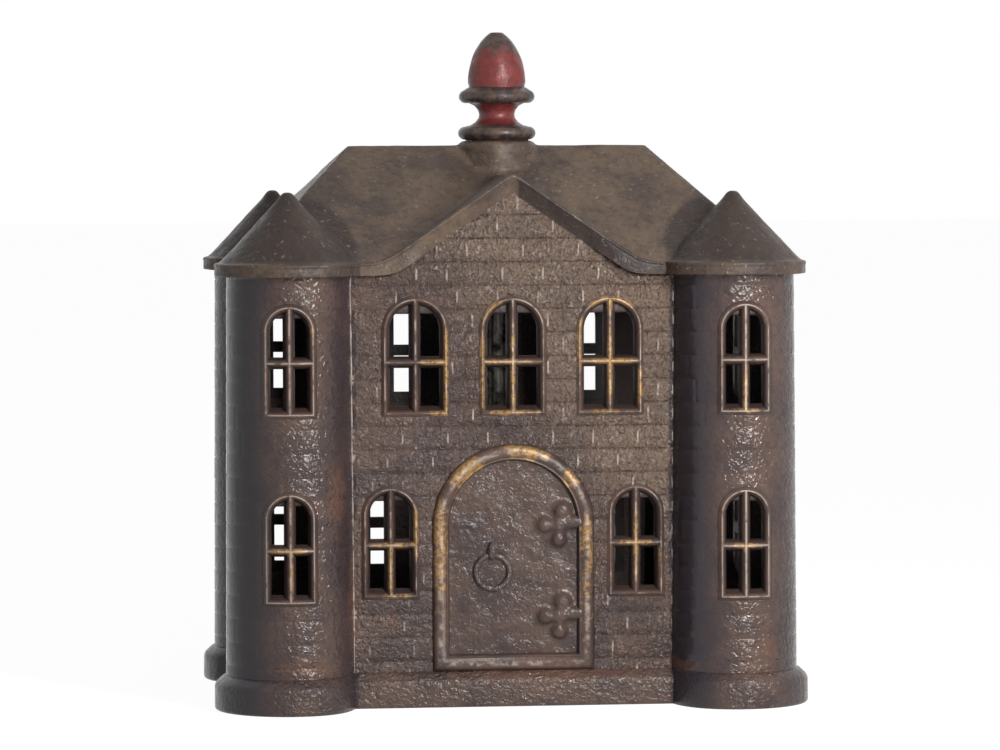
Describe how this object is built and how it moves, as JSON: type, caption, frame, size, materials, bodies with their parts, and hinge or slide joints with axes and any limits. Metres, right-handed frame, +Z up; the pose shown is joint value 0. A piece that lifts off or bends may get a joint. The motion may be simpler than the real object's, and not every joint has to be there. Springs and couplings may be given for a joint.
{
  "type": "still bank",
  "caption": "Cast iron coin bank shaped like a small castle house with round corner towers, a gabled roof and an acorn nut that holds it together.",
  "frame": {"origin": "centre of the footprint, on the ground", "axes": "+X to the right as the door is seen, +Y towards the rear, +Z up; the door faces -Y"},
  "size_m": [0.1236, 0.0866, 0.1398],
  "materials": {
    "wall_iron": "worn dark brown japan over cast iron, gilt traces on window and door frames",
    "roof_iron": "worn dark brown japan over cast iron",
    "worn_red": "worn red paint over cast iron",
    "bolt_steel": "dull oiled steel",
    "plate_iron": "bare cast iron gone brown"
  },
  "bodies": {
    "walls": {"front_wall": "wall_iron", "left_wall": "wall_iron", "right_wall": "wall_iron", "rear_wall": "wall_iron", "base_plate": "plate_iron"},
    "roof_casting": {"roof": "roof_iron"},
    "acorn_nut": {"finial": "worn_red"},
    "bolt": {"through_bolt": "bolt_steel"}
  },
  "joints": [
    {"name": "roof_lift", "type": "slide", "parent": "walls", "child": "roof_casting", "axis": [0, 0, 1], "range_m": [0, 0.045]},
    {"name": "finial_rise", "type": "slide", "parent": "roof_casting", "child": "acorn_nut", "axis": [0, 0, 1], "range_m": [0, 0.0085]},
    {"name": "bolt_turn", "type": "hinge", "parent": "walls", "child": "bolt", "pos_m": [0, 0, 0.0034], "axis": [0, 0, -1], "range_deg": [0, 2892]}
  ],
  "couplings": [
    {"joint": "bolt_turn", "follows": "finial_rise", "rad_per_m": 5936.9}
  ]
}
